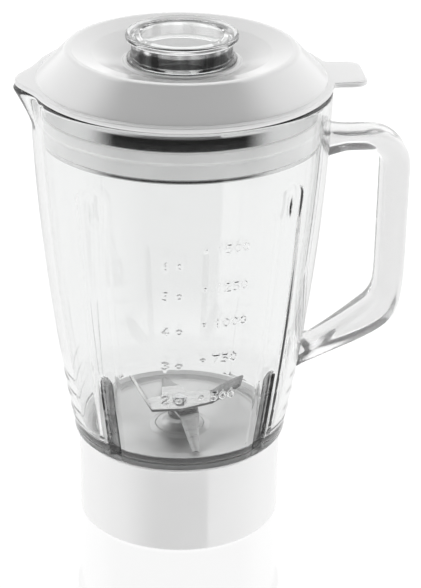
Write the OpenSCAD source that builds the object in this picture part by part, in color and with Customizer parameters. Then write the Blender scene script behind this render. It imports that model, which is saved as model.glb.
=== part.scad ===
// Glass blender jug on a screw-on drive collar, with lid and measuring cap.
// Origin: centre of the collar's bottom face. +Z up, +X towards the handle.
// All sizes are in millimetres.

/* [Collar] */
// Outer radius of the white drive collar
collar_r = 53; // [52:0.5:55]
// Height of the collar
collar_h = 47.4; // [46.5:0.1:47.6]
// Wall thickness of the collar
collar_wall = 1.8; // [1.6:0.1:2]
// Radius of the socket that slips over the machine's drive spigot
socket_r = 46; // [42:0.5:47]

/* [Jug] */
// Outer radius of the glass at the foot of the wall
jug_foot_r = 55.3; // [54.5:0.1:56]
// Outer radius of the glass at the rim
jug_rim_r = 74.2; // [74:0.1:74.4]
// Height of the rim above the stand
jug_rim_z = 237.2; // [236.8:0.1:237.3]
// How quickly the wall bulges: 1 is a plain cone
jug_bulge = 1.77; // [1.6:0.01:1.9]
// Thickness of the glass wall
jug_wall = 4.8; // [4.6:0.1:4.9]
// Radius of the hole in the neck that takes the blade unit
neck_bore_r = 45; // [44.95:0.05:45.3]
// Outer radius of the neck
neck_r = 48.8; // [48.5:0.1:48.9]
// Height of the neck's lower edge
neck_z = 31.5; // [31.5:0.1:31.8]
// Depth of each pressed flute, measured outside
flute_depth = 2.4; // [1.5:0.1:3]
// Radius of the flute's groove
flute_r = 6.5; // [5:0.1:8]
// How far each flute stands out as a ridge inside
ridge_depth = 2.6; // [1:0.1:3.5]

/* [Handle] */
// Width of the handle, side to side
handle_w = 20; // [18:0.5:24]
// Outermost reach of the handle from the axis
handle_reach = 116; // [112:0.5:122]
// Thickness of the grip, in and out
handle_t = 13.7; // [12:0.1:15]
// Top of the upper arm
handle_top_z = 211.5; // [209:0.5:214]

/* [Thread] */
// Rise of the jug in one full turn of the collar
thread_lead = 24; // [20:1:28]
// Angle that each lug covers
lug_angle = 38; // [30:1:40]
// Thickness of a lug
lug_t = 3.2; // [2.8:0.1:3.4]

/* [Lid] */
// Outer radius of the lid's flange
lid_r = 74.8; // [74.5:0.1:75.5]
// Height of the lid's crown above the stand
lid_crown_z = 254.9; // [253:0.1:256]
// Reach of the lifting tab from the axis
tab_reach = 90; // [86:0.5:94]
// Outer radius of the silicone seal
seal_r = 68.5; // [68.2:0.1:68.6]

/* [Measuring cap] */
// Outer radius of the cap's rim
cap_rim_r = 27.6; // [27:0.1:29]
// Outer radius of the cup below it
cap_cup_r = 24.9; // [24.5:0.1:25]
// Top of the cap above the stand
cap_top_z = 262.3; // [261:0.1:264]

/* [Blades] */
// Length of each upper wing past its fold
upper_wing = 21; // [16:0.5:22]
// Bend of the upper blade's steep wing
steep_bend = 61; // [40:1:65]
// Bend of the upper blade's other wing
gentle_bend = 32; // [20:1:60]
// Reach of the lower blade, whose wings dip toward the dish
lower_blade_reach = 40; // [34:0.5:40.5]
// Angle from the upper blade to the lower one
lower_blade_angle = 97.5; // [80:0.5:110]
// Thickness of the blade steel
blade_t = 1.5; // [1.2:0.1:1.6]
// Radius of the drive shaft
shaft_r = 4; // [3.5:0.1:4.5]

/* [Hidden] */
$fn = 96;

// Radial gap between pieces that turn or slide past each other
slip = 0.4;
// Radial gap of a shaft in its bush
running = 0.04;
// Small overshoot so that cuts pass clean through
eps = 1;
collar_inner_r = collar_r - collar_wall;
// The web inside the collar carries the blade unit and the machine ring
web_z = 22;
web_t = 4;
web_bore_r = 36;
web_top = web_z + web_t;
ring_flange_t = 3;
ring_screw_r = 1.25;
ring_screw_circle_r = 41.5;
// Thread lugs: the jug's lie under the collar's when it is locked
jug_lug_z = 38;
collar_lug_z = jug_lug_z + lug_t + 0.3;
lug_pitch = atan(thread_lead / (2 * PI * neck_r));
jug_lug_r = collar_inner_r - slip;
collar_lug_r = neck_r + slip;
// Blade carrier
flange_r = collar_inner_r - 0.8;
flange_t = 3;
flange_top = web_top + flange_t;
carrier_r = neck_bore_r - 0.6;
carrier_top = 49;
hub_top = 45.7;
hub_bottom = 38;
dish_t = 1;
// Bearing housing and the stack that turns in it
housing_r = 8.5;
housing_bore_r = 6.5;
housing_bottom = 29.5;
housing_top = 53.6;
washer_t = 0.8;
hub_t = 2;
hub_r = 6.2;
housing_flange_z = hub_top + dish_t + 1;
hub_z = housing_top + 0.1 + washer_t;
lower_blade_z = hub_z + hub_t;
spacer_t = 2;
upper_blade_z = lower_blade_z + blade_t + spacer_t;
spindle_r = 3;
spindle_flat = 2.4;
stud_r = 2;
stud_h = 1.4;
stack_top = upper_blade_z + blade_t;
shaft_bottom = 20;
// Jug body
foot_z = 50.3;
shoulder_z = collar_h + 0.3;
shoulder_r = jug_foot_r - 2.6;
bowl_z = 56;
wall_steps = 12;
flute_z = [50.3, 125, 202];
flute_angles = [49, 131, 229, 311];
step_grooves_z = [56.5, 66.5, 77];
spout_x = -69;
spout_z = 216;
spout_tip_r = 15;
// Lid
flange_z = jug_rim_z + 0.3;
lid_flange_t = 2.7;
lid_wall = 2.4;
plug_inner_r = 64;
plug_bottom = 210.8;
plug_lip_t = 2.2;
seal_bottom = plug_bottom + plug_lip_t;
seal_top = 226.3;
seal_seat_r = 66.2;
hole_r = cap_cup_r + slip;
hole_lip_z = 248.6;
cap_bottom = 220;
cap_wall = 2;

// ---------- helpers ----------

// Points of an arc, counted from a0 to a1 in n steps
function arc(cx, cy, r, a0, a1, n) =
  [for (i = [0:n]) let (a = a0 + (a1 - a0) * i / n) [cx + r * cos(a), cy + r * sin(a)]];

// Outer radius of the glass wall at height z
function jug_r(z) =
  jug_rim_r - (jug_rim_r - jug_foot_r) * pow(1 - (z - foot_z) / (jug_rim_z - foot_z), jug_bulge);

// Ring between two radii
module ring(r_out, r_in, h) {
  difference() {
    cylinder(r = r_out, h = h);
    translate([0, 0, -eps])
      cylinder(r = r_in, h = h + 2 * eps);
  }
}

// Centre of the circle through three points
function circle_centre(a, b, c) =
  let (
    d = 2 * (a.x * (b.y - c.y) + b.x * (c.y - a.y) + c.x * (a.y - b.y)),
    x = (a * a * (b.y - c.y) + b * b * (c.y - a.y) + c * c * (a.y - b.y)) / d,
    y = (a * a * (c.x - b.x) + b * b * (a.x - c.x) + c * c * (b.x - a.x)) / d
  ) [x, y];

// One lug of the four-start thread: a tilted slab cut to a ring sector
module thread_lug(r_in, r_out, z) {
  intersection() {
    translate([0, 0, z])
      rotate([lug_pitch, 0, 0])
        translate([r_in - 8, -30, -lug_t / 2])
          cube([r_out, 60, lug_t]);
    rotate([0, 0, -lug_angle / 2])
      rotate_extrude(angle = lug_angle)
        translate([r_in, z - 10])
          square([r_out - r_in, 20]);
  }
}

module thread_lugs(r_in, r_out, z) {
  for (a = [0:90:270])
    rotate([0, 0, a])
      thread_lug(r_in, r_out, z);
}

// Round bar with two flats, used where the blades are keyed to the shaft
module keyed_bar(h, play = 0) {
  intersection() {
    cylinder(r = spindle_r + play, h = h, $fn = 48);
    translate([-spindle_r - 1, -spindle_flat - play, 0])
      cube([2 * spindle_r + 2, 2 * (spindle_flat + play), h]);
  }
}

// ---------- collar ----------

module base_collar() {
  edge = 0.7;
  color("white") {
    difference() {
      rotate_extrude()
        polygon([
          [collar_inner_r, 0], [collar_r - edge / 2, 0], [collar_r, edge / 2],
          [collar_r, collar_h - edge], [collar_r - edge, collar_h], [collar_inner_r, collar_h],
          [collar_inner_r, web_top], [web_bore_r, web_top], [web_bore_r, web_z],
          [collar_inner_r, web_z]
        ]);
      for (a = [60:120:300])
        rotate([0, 0, a])
          translate([ring_screw_circle_r, 0, web_z - eps])
            cylinder(r = ring_screw_r, h = 2.8 + eps, $fn = 32);
    }
    difference() {
      thread_lugs(collar_lug_r, collar_inner_r + 0.5, collar_lug_z);
      ring(collar_r + 5, collar_inner_r + 0.5, collar_h);
    }
  }
}

// Ring that the machine's bayonet turns into
module machine_ring() {
  slot_w = 9;
  slot_t = 4;
  color("gainsboro")
    difference() {
      union() {
        ring(collar_inner_r - 0.2, socket_r, web_z);
        translate([0, 0, web_z - ring_flange_t])
          ring(socket_r + 1, web_bore_r + 2, ring_flange_t);
      }
      for (a = [60:120:300])
        rotate([0, 0, a]) {
          translate([ring_screw_circle_r, 0, web_z - ring_flange_t - eps])
            cylinder(r = ring_screw_r + 0.3, h = ring_flange_t + 2 * eps, $fn = 32);
          translate([ring_screw_circle_r, 0, web_z - ring_flange_t - 0.01])
            cylinder(r1 = 2.9, r2 = ring_screw_r + 0.3, h = 1.6, $fn = 32);
        }
      for (a = [30:120:270]) {
        rotate([0, 0, a])
          translate([socket_r - 3, -slot_w / 2, -eps])
            cube([6, slot_w, 13 + eps]);
        rotate([0, 0, a])
          rotate_extrude(angle = 26)
            translate([socket_r - 3, 13 - slot_t])
              square([6, slot_t]);
      }
    }
}

module ring_screws() {
  color("silver")
    for (a = [60:120:300])
      rotate([0, 0, a])
        translate([ring_screw_circle_r, 0, web_z - ring_flange_t]) {
          difference() {
            cylinder(r1 = 2.7, r2 = ring_screw_r, h = 1.5, $fn = 32);
            for (q = [0, 90])
              rotate([0, 0, q])
                translate([-1.6, -0.35, -0.01])
                  cube([3.2, 0.7, 0.9]);
          }
          translate([0, 0, 1.4])
            cylinder(r = ring_screw_r, h = ring_flange_t + 1, $fn = 32);
        }
}

// ---------- blade unit ----------

module blade_carrier() {
  color("dimgray") {
    rotate_extrude()
      polygon([
        [41, web_top], [flange_r, web_top], [flange_r, flange_top], [carrier_r, flange_top],
        [carrier_r, carrier_top], [14, hub_top], [housing_r + 0.1, hub_top],
        [housing_r + 0.1, hub_bottom], [16, hub_bottom], [16, hub_top - 3.4],
        [41, carrier_top - 3.4]
      ]);
    // Forks that grip the jug's two key ribs, so that jug and blades turn as one
    for (a = [45, 225])
      rotate([0, 0, a])
        for (side = [-8, 4.4])
          rotate([0, 0, side])
            rotate_extrude(angle = 3.6)
              translate([neck_r + slip, flange_top - 1])
                square([flange_r - neck_r - slip, 7]);
  }
}

module jug_seal() {
  color("lightgray")
    translate([0, 0, flange_top])
      ring(neck_r, carrier_r + 0.1, neck_z - flange_top);
}

module floor_dish() {
  rim_r = neck_bore_r - 0.3;
  color("silver")
    rotate_extrude()
      polygon([
        [housing_r + 0.1, hub_top], [14, hub_top], [carrier_r, carrier_top],
        [rim_r, carrier_top + 0.4], [rim_r, carrier_top + 1.3], [rim_r - 1, carrier_top + 1.3],
        [14, hub_top + dish_t], [housing_r + 0.1, hub_top + dish_t]
      ]);
}

module dish_seal() {
  color("gray")
    translate([0, 0, hub_top + dish_t])
      ring(12, housing_r + 0.1, 1);
}

module bearing_housing() {
  color("lightsteelblue")
    rotate_extrude()
      polygon([
        [housing_bore_r, housing_bottom], [housing_r, housing_bottom],
        [housing_r, housing_flange_z], [12.5, housing_flange_z], [12.5, housing_flange_z + 1],
        [11.6, housing_flange_z + 1.4], [8.4, housing_flange_z + 1.8], [7, housing_top - 0.6],
        [6.4, housing_top], [shaft_r + 0.6, housing_top], [shaft_r + 0.6, housing_top - 1.2],
        [housing_bore_r, housing_top - 1.2]
      ]);
}

module housing_nut() {
  color("silver")
    difference() {
      translate([0, 0, hub_bottom - 4.5])
        cylinder(r = 14.4, h = 4.5, $fn = 6);
      translate([0, 0, hub_bottom - 5.5])
        cylinder(r = housing_r, h = 7);
    }
}

module upper_bush() {
  color("peru")
    translate([0, 0, 42])
      ring(housing_bore_r, shaft_r + running, 6.4);
}

module lower_bush() {
  color("peru")
    translate([0, 0, housing_bottom])
      ring(housing_bore_r, shaft_r + running, 6.4);
}

module shaft_seal() {
  color("black")
    translate([0, 0, 48.4])
      ring(housing_bore_r, shaft_r + running, housing_top - 1.2 - 48.4);
}

// ---------- rotor ----------

module drive_shaft() {
  color("silver")
    difference() {
      union() {
        translate([0, 0, shaft_bottom])
          cylinder(r = shaft_r, h = lower_blade_z - shaft_bottom);
        // Shoulder that the blades are clamped on
        translate([0, 0, hub_z])
          cylinder(r = hub_r, h = hub_t);
        translate([0, 0, lower_blade_z])
          keyed_bar(stack_top - lower_blade_z);
        translate([0, 0, stack_top])
          cylinder(r = stud_r, h = stud_h, $fn = 48);
      }
      // Groove for the retaining clip
      translate([0, 0, housing_bottom - 1.3])
        ring(shaft_r + 1, shaft_r - 0.6, 1);
    }
}

module drive_coupling() {
  teeth = 6;
  color("black")
    difference() {
      union() {
        translate([0, 0, 24])
          cylinder(r = 14, h = 3.6);
        translate([0, 0, 20])
          cylinder(r = 8, h = 4);
        for (i = [0:teeth - 1])
          rotate([0, 0, i * 360 / teeth])
            translate([7, -2.4, 19.6])
              cube([6.4, 4.8, 5]);
      }
      translate([0, 0, 19])
        cylinder(r = shaft_r, h = 10);
    }
}

module retaining_clip() {
  color("gray")
    translate([0, 0, housing_bottom - 1.3])
      difference() {
        ring(6.4, shaft_r - 0.6, 1);
        translate([0, -1.5, -eps])
          cube([8, 3, 3]);
      }
}

module thrust_washer() {
  color("white")
    translate([0, 0, housing_top + 0.1])
      ring(hub_r, shaft_r, washer_t);
}

// Wing of a blade, bent about a fold line through x = root; its outline is drawn flat, past the fold
module wing(root, skew, bend, outline) {
  translate([root, 0, 0])
    rotate([0, 0, skew])
      rotate([0, -bend, 0])
        linear_extrude(height = blade_t)
          polygon(outline);
}

// The lower blade is flat around the shaft and dips outward on both sides to follow the dish
module lower_blade() {
  front_fold = 10.8;
  back_fold = 21.5;
  skew = 8;
  dip = -11.5;
  front = (lower_blade_reach - front_fold) / cos(dip);
  back = (lower_blade_reach - back_fold) / cos(dip);
  color("gainsboro")
    translate([0, 0, lower_blade_z])
      difference() {
        rotate([0, 0, lower_blade_angle - 180]) {
          linear_extrude(height = blade_t)
            polygon([
              [front_fold + 0.33, -2.3], [4.6, -3.8], [-1, -7], [-9, -7.4], [-back_fold, -5.2],
              [-back_fold, 5.6], [-12, 7.4], [1, 9.2], [front_fold - 1.15, 8.2]
            ]);
          wing(front_fold, skew, dip, [[-0.5, -2.4], [front, -5.4], [front, -2.2], [-0.5, 8.3]]);
          rotate([0, 0, 180])
            wing(back_fold, 0, dip, [[-0.5, -5.6], [back, -1.6], [back, 1.6], [-0.5, 5.2]]);
        }
        translate([0, 0, -eps])
          keyed_bar(blade_t + 2 * eps, 0.05);
      }
}

module blade_spacer() {
  color("silver")
    translate([0, 0, lower_blade_z + blade_t])
      difference() {
        cylinder(r = hub_r, h = spacer_t);
        translate([0, 0, -eps])
          keyed_bar(spacer_t + 2 * eps, 0.05);
      }
}

// The upper blade has one wing bent up steeply and one gently
module upper_blade() {
  root = 17;
  steep_skew = 10.6;
  skew_run = tan(steep_skew);
  front_y = 2.8;
  back_y = 9.6;
  outline = [
    [-0.3, -front_y], [upper_wing * 0.85, -front_y + 0.6], [upper_wing, 6],
    [upper_wing * 0.7, 9], [upper_wing * 0.38, back_y + 1], [-0.3, back_y]
  ];
  color("gainsboro")
    translate([0, 0, upper_blade_z])
      difference() {
        union() {
          linear_extrude(height = blade_t)
            polygon([
              [0, -9.4], [8, -6.3], [root, -front_y], [root, back_y],
              [0, 9.4], [-8, 6.3], [-root - front_y * skew_run, front_y],
              [-root + back_y * skew_run, -back_y]
            ]);
          wing(root, 0, gentle_bend, outline);
          rotate([0, 0, 180])
            wing(root, steep_skew, steep_bend, outline);
        }
        translate([0, 0, -eps])
          keyed_bar(blade_t + 2 * eps, 0.05);
      }
}

module blade_nut() {
  color("silver")
    translate([0, 0, stack_top])
      difference() {
        union() {
          cylinder(r = 3.7, h = 1.5, $fn = 6);
          cylinder(r = 2.8, h = 2.1, $fn = 48);
        }
        translate([0, 0, -eps])
          cylinder(r = stud_r, h = stud_h + 0.1 + eps, $fn = 48);
      }
}

// ---------- jug ----------

module jug_outside() {
  rotate_extrude()
    polygon(concat(
      [[0, neck_z], [neck_r, neck_z], [neck_r, shoulder_z], [shoulder_r, shoulder_z]],
      arc(shoulder_r, foot_z, foot_z - shoulder_z, -60, -20, 2),
      [for (i = [0:wall_steps])
        let (z = foot_z + (jug_rim_z - foot_z) * i / wall_steps) [jug_r(z), z]],
      [[0, jug_rim_z]]
    ));
}

module jug_inside() {
  bowl_r = jug_r(bowl_z) - jug_wall;
  top_z = jug_rim_z + eps;
  rotate_extrude()
    polygon(concat(
      [[0, neck_z - eps], [neck_bore_r, neck_z - eps], [neck_bore_r, foot_z]],
      [for (a = [30:30:90])
        [neck_bore_r + (bowl_r - neck_bore_r) * sin(a), bowl_z - (bowl_z - foot_z) * cos(a)]],
      [for (i = [1:wall_steps])
        let (z = bowl_z + (jug_rim_z - bowl_z) * i / wall_steps) [jug_r(z) - jug_wall, z]],
      [[jug_rim_r - jug_wall, top_z], [0, top_z]]
    ));
}

// Bars along the four flutes, each bent on one arc that follows the wall
module flutes(r) {
  lift = flute_r - flute_depth;
  path = [for (z = flute_z) [jug_r(max(z, foot_z)) + lift, z]];
  centre = circle_centre(path[0], path[1], path[2]);
  bend_r = norm(path[0] - centre);
  from = asin((path[0].y - centre.y) / bend_r);
  to = asin((path[2].y - centre.y) / bend_r);
  for (a = flute_angles)
    rotate([0, 0, a])
      translate([centre.x, 0, centre.y])
        rotate([90, 0, 0])
          rotate([0, 0, from])
            rotate_extrude(angle = to - from, $fn = 1440)
              translate([bend_r, 0])
                circle(r = r, $fn = 48);
}

// Pouring lip: a cone that grows out of the wall opposite the handle
module spout(shrink) {
  h = jug_rim_z - spout_z;
  translate([spout_x, 0, spout_z])
    cylinder(r1 = max(0.5, 1.5 - shrink), r2 = spout_tip_r - shrink, h = h, $fn = 64);
}

// Horizontal pressed steps on the two side walls near the foot
module side_steps() {
  for (side = [0, 180])
    rotate([0, 0, side - 27])
      for (z = step_grooves_z)
        rotate_extrude(angle = 54)
          polygon([
            [jug_r(z) - 0.9, z - 0.5], [jug_r(z) + 3, z - 0.5],
            [jug_r(z + 4) + 3, z + 4], [jug_r(z + 4) - 0.1, z + 4]
          ]);
}

module handle_outline() {
  out_r = 20;
  in_r = 9;
  heel_r = 12;
  x_out = handle_reach;
  x_in = handle_reach - handle_t;
  arm_t = 10.9;
  z_in = handle_top_z - arm_t;
  polygon(concat(
    [[66, handle_top_z]],
    arc(x_out - out_r, handle_top_z - out_r, out_r, 90, 0, 6),
    [[x_out, 137]],
    arc(x_out - 4 - heel_r, 114, heel_r, 0, -62, 4),
    [[84, 92], [54, 79], [54, 85], [66, 93.6]],
    arc(x_in - in_r, 126, in_r, -42, 0, 3),
    arc(x_in - in_r, z_in - in_r, in_r, 0, 90, 4),
    [[66, z_in]]
  ));
}

module handle() {
  rotate([90, 0, 0])
    translate([0, 0, -handle_w / 2])
      linear_extrude(height = handle_w)
        handle_outline();
  // Thicker root pad where the upper arm meets the wall
  translate([66, -handle_w / 2 - 1, handle_top_z - 13.5])
    cube([14.5, handle_w + 2, 15]);
}

// Raised measuring dots: two columns on the front wall
module scale_dots() {
  for (z = [94.8, 116.8, 137.2, 156.9, 177.6])
    scale_dot(z, -85.3);
  for (z = [93.2, 113.6, 133.4, 153.2, 169.6])
    scale_dot(z, -95.4);
}

module scale_dot(z, azimuth) {
  rotate([0, 0, azimuth])
    translate([jug_r(z) - 1.5, 0, z])
      rotate([0, 90, 0])
        cylinder(r = 1.5, h = 1.9, $fn = 24);
}

module glass_jug() {
  ridge_r = flute_r + jug_wall - flute_depth + ridge_depth;
  color("lightblue", 0.4) {
    difference() {
      union() {
        jug_outside();
        spout(0);
        handle();
      }
      difference() {
        jug_inside();
        flutes(ridge_r);
      }
      flutes(flute_r);
      spout(3.6);
      side_steps();
    }
    difference() {
      thread_lugs(neck_r - 0.5, jug_lug_r, jug_lug_z);
      translate([0, 0, neck_z])
        cylinder(r = neck_r - 0.5, h = 16);
    }
    // Two key ribs that the blade carrier's forks grip
    for (a = [45, 225])
      rotate([0, 0, a - 3.4])
        rotate_extrude(angle = 6.8)
          translate([neck_r - 0.5, neck_z])
            square([flange_r - neck_r + 0.5, 3.6]);
    scale_dots();
  }
}

// ---------- lid ----------

module lid_flange_outline() {
  beak_r = 12;
  corner_r = 6;
  tab_w = 16;
  difference() {
    union() {
      circle(r = lid_r);
      translate([60, -tab_w])
        square([tab_reach - corner_r - 60, 2 * tab_w]);
      translate([60, -tab_w + corner_r])
        square([tab_reach - 60, 2 * (tab_w - corner_r)]);
      for (s = [-1, 1])
        translate([tab_reach - corner_r, s * (tab_w - corner_r)])
          circle(r = corner_r, $fn = 48);
      translate([-81.5 + beak_r, 0])
        circle(r = beak_r, $fn = 64);
      polygon([
        [-81.5 + beak_r - 6, -beak_r * 0.87], [-81.5 + beak_r - 6, beak_r * 0.87],
        [-68, 30], [-60, 30], [-60, -30], [-68, -30]
      ]);
    }
    circle(r = plug_inner_r);
  }
}

module lid_cover() {
  color("white") {
    translate([0, 0, flange_z])
      linear_extrude(height = lid_flange_t)
        lid_flange_outline();
    rotate_extrude()
      polygon(concat(
        [[plug_inner_r, flange_z + 0.3], [71, flange_z + 0.3], [71, flange_z + 3.2]],
        arc(55.2, lid_crown_z - 3.4, 3.4, 45, 100, 3),
        [[44, lid_crown_z - 2.2], [33, lid_crown_z - 5.6], [28.6, hole_lip_z - 1],
         [28, hole_lip_z], [hole_r, hole_lip_z], [hole_r, 236], [hole_r + 2, 236],
         [hole_r + 2, hole_lip_z - 4], [33, lid_crown_z - 5.6 - lid_wall],
         [44, lid_crown_z - 2.2 - lid_wall], [55, lid_crown_z - lid_wall - 0.4]]
      ));
  }
}

module lid_plug() {
  color("gray")
    rotate_extrude()
      polygon([
        [plug_inner_r, plug_bottom], [seal_r - 0.3, plug_bottom], [seal_r - 0.3, seal_bottom],
        [seal_seat_r, seal_bottom], [seal_seat_r, seal_top], [67.8, seal_top],
        [67.8, flange_z], [plug_inner_r, flange_z]
      ]);
}

module lid_seal() {
  mid = (seal_bottom + seal_top) / 2 + 1;
  color("whitesmoke")
    rotate_extrude()
      polygon([
        [seal_seat_r, seal_bottom], [seal_r - 0.6, seal_bottom], [seal_r, seal_bottom + 0.6],
        [seal_r, mid - 0.8], [seal_r - 0.8, mid - 0.3], [seal_r - 0.8, mid + 0.3],
        [seal_r, mid + 0.8], [seal_r, seal_top - 0.6], [seal_r - 0.6, seal_top],
        [seal_seat_r, seal_top]
      ]);
}

module measuring_cap() {
  lip_r = 1.7;
  recess = 0.6;
  rim_z = cap_top_z - 2 * lip_r;
  plate_z = cap_top_z - 4.4;
  color("aliceblue", 0.5)
    rotate_extrude()
      polygon(concat(
        [[cap_cup_r - cap_wall, cap_bottom], [cap_cup_r, cap_bottom], [cap_cup_r, hole_lip_z],
         [27, hole_lip_z], [27, hole_lip_z + 1.2], [cap_cup_r, hole_lip_z + 1.8],
         [cap_cup_r, rim_z]],
        arc(cap_rim_r - lip_r, rim_z + lip_r, lip_r, -80, 80, 6),
        [[20.4, cap_top_z], [19.8, cap_top_z - recess], [0, cap_top_z - recess],
         [0, plate_z], [cap_cup_r - cap_wall - 2, plate_z],
         [cap_cup_r - cap_wall, plate_z - 2]]
      ));
}

base_collar();
machine_ring();
ring_screws();
blade_carrier();
jug_seal();
floor_dish();
dish_seal();
bearing_housing();
housing_nut();
upper_bush();
lower_bush();
shaft_seal();
drive_shaft();
drive_coupling();
retaining_clip();
thrust_washer();
lower_blade();
blade_spacer();
upper_blade();
blade_nut();
glass_jug();
lid_cover();
lid_plug();
lid_seal();
measuring_cap();
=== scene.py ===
import math

import bmesh
import bpy
import numpy as np
from mathutils import Matrix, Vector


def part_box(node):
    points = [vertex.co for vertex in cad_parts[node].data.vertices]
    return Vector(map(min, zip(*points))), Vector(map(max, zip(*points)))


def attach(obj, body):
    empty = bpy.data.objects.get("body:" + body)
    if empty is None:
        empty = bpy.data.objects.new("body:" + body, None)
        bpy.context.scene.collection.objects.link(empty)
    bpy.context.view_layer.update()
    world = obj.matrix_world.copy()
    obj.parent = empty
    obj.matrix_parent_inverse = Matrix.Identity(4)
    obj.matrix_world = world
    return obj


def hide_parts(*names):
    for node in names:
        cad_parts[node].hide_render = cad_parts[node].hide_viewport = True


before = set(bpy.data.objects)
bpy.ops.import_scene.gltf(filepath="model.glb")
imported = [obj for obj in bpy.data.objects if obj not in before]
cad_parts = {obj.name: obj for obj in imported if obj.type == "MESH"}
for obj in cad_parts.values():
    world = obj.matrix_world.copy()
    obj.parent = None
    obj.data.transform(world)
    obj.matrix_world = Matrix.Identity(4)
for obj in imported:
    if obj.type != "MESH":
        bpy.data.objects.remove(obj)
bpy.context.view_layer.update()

# ---------- sizes, in millimetres unless a name says otherwise ----------

MM = 0.001


def corners_of(node):
    """Lowest and highest corner of a CAD node, in millimetres."""
    low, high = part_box(node)
    return np.array(low) / MM, np.array(high) / MM


_, collar_high = corners_of("base_collar")
jug_low, jug_high = corners_of("glass_jug")
cover_low, cover_high = corners_of("lid_cover")
plug_low, plug_high = corners_of("lid_plug")
seal_low, seal_high = corners_of("lid_seal")
cap_low, cap_high = corners_of("measuring_cap")
dish_low, dish_high = corners_of("floor_dish")
upper_low, _ = corners_of("upper_blade")
_, lower_high = corners_of("lower_blade")
housing_low, housing_high = corners_of("bearing_housing")

COLLAR_R = 53.0
COLLAR_TOP = collar_high[2]
COLLAR_WALL = 1.8
WEB_LOW, WEB_HIGH, WEB_BORE_R = 22.0, 26.0, 36.0
LUG_ANGLE, LUG_THICK, LUG_LEAD = 38.0, 3.2, 24.0
COLLAR_LUG_Z, JUG_LUG_Z, LUG_TURNS = 41.5, 38.0, (0, 90, 180, 270)

RIM_Z = 237.2
FOOT_Z, FOOT_R, RIM_R, BULGE = 50.3, 55.3, 74.2, 1.77
WALL = 4.8
NECK_R, NECK_BORE_R, NECK_Z = 48.8, 45.0, jug_low[2]
SHOULDER_Z, SHOULDER_R = COLLAR_TOP + 0.3, 52.7
BOWL_Z = 56.0
SEAT_Z = 47.7
FLUTE_ANGLES = (49.0, 131.0, 229.0, 311.0)
# The two front flutes: deeper slots, and their slot glass painted dark as painted shade
FRONT_FLUTES_PAINTED_DARK = (229.0, 311.0)
FLUTE_TOP_Z, FLUTE_HALF, FLUTE_DEPTH, FLUTE_EDGE, FLUTE_END_EDGE = 205.0, 9.5, 0.55, 0.42, 0.16
# A small deeper thumb press near the top of each flute
PRESS_Z, PRESS_HALF, PRESS_HALF_HEIGHT, PRESS_DEPTH = 192.0, 2.0, 7.5, 1.1
SLOT_TOP_Z, SLOT_HALF, SLOT_DEPTH, BACK_SLOT_DEPTH = 100.0, 4.2, 2.3, 0.7
RIDGE_HALF, RIDGE_DEPTH = 8.0, 0.6
# Shallow steps on both sides, full up to one angle from the side's middle and gone at the other
STEP_ZS, STEP_DEPTH, STEP_FULL_ANGLE, STEP_END_ANGLE = (54.0, 64.5, 75.0, 84.5), 0.3, 12.0, 30.0
STEP_TOP_Z = 92.0
SPOUT_REACH, SPOUT_LOW_Z, SPOUT_HALF = 8.9, 219.0, 21.0

FLANGE_Z, FLANGE_TOP, FLANGE_R = cover_low[2] + 1.5, 240.2, cover_high[1]
TAB_REACH, TAB_HALF, TAB_CORNER = cover_high[0], 16.0, 6.0
BEAK_REACH = -cover_low[0]
HOLE_R = 25.3

BLADE_THICK = 1.5
# Bends of the upper blade's two wings and of the lower blade's, in degrees
GENTLE_BEND, STEEP_BEND, LOWER_BEND = 32.0, 61.0, -11.5
LOWER_BLADE_TURN = 97.5 - 180.0

# Raised measuring marks: height of each dot and the number beside it
RIGHT_MARKS = ((94.8, "500"), (116.8, "750"), (137.2, "1000"), (156.9, "1250"), (177.6, "1500"))
LEFT_MARKS = ((93.2, "2"), (113.6, "3"), (133.4, "4"), (153.2, "5"), (169.6, "6"))
RIGHT_AZIMUTH, LEFT_AZIMUTH = -85.3, -95.4
MARK_RAISE, STROKE = 0.5, 0.42
MARKS_LOW_Z, MARKS_HIGH_Z = 85.0, 185.0
DIGIT_W, DIGIT_H, DIGIT_PITCH, DIGIT_GAP = 2.9, 4.1, 4.4, 5.2
LEFT_DOT_R, RIGHT_DOT_R = 1.15, 0.75

# Strokes of the digits in a unit box, drawn as open lines
DIGITS = {
    "0": [[(0.5, 1), (0.1, 0.8), (0, 0.5), (0.1, 0.2), (0.5, 0),
           (0.9, 0.2), (1, 0.5), (0.9, 0.8), (0.5, 1)]],
    "1": [[(0.15, 0.75), (0.55, 1), (0.55, 0)]],
    "2": [[(0.05, 0.8), (0.3, 1), (0.75, 1), (0.95, 0.75), (0.8, 0.5), (0, 0), (1, 0)]],
    "3": [[(0.05, 0.9), (0.5, 1), (0.9, 0.8), (0.5, 0.55), (0.95, 0.3), (0.5, 0), (0, 0.12)]],
    "4": [[(0.75, 0), (0.75, 1), (0, 0.35), (1, 0.35)]],
    "5": [[(0.9, 1), (0.15, 1), (0.1, 0.55), (0.6, 0.62), (0.95, 0.35), (0.65, 0), (0, 0.08)]],
    "6": [[(0.8, 1), (0.3, 0.8), (0.02, 0.35), (0.5, 0), (0.95, 0.3), (0.6, 0.58), (0.08, 0.42)]],
    "7": [[(0, 1), (1, 1), (0.35, 0)]],
}

# ---------- mesh helpers ----------


def add_mesh(name, points, faces, look, sharp_degrees=34.0):
    """A smooth-shaded piece from points in millimetres and lists of corners."""
    mesh = bpy.data.meshes.new(name)
    mesh.from_pydata((np.asarray(points, float) * MM).tolist(), [], [list(f) for f in faces])
    bm = bmesh.new()
    bm.from_mesh(mesh)
    bmesh.ops.remove_doubles(bm, verts=bm.verts, dist=1e-7)
    bmesh.ops.recalc_face_normals(bm, faces=bm.faces)
    bm.to_mesh(mesh)
    bm.free()
    mesh.polygons.foreach_set("use_smooth", [True] * len(mesh.polygons))
    mesh.set_sharp_from_angle(angle=math.radians(sharp_degrees))
    mesh.materials.append(look)
    piece = bpy.data.objects.new(name, mesh)
    bpy.context.scene.collection.objects.link(piece)
    return piece


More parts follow.
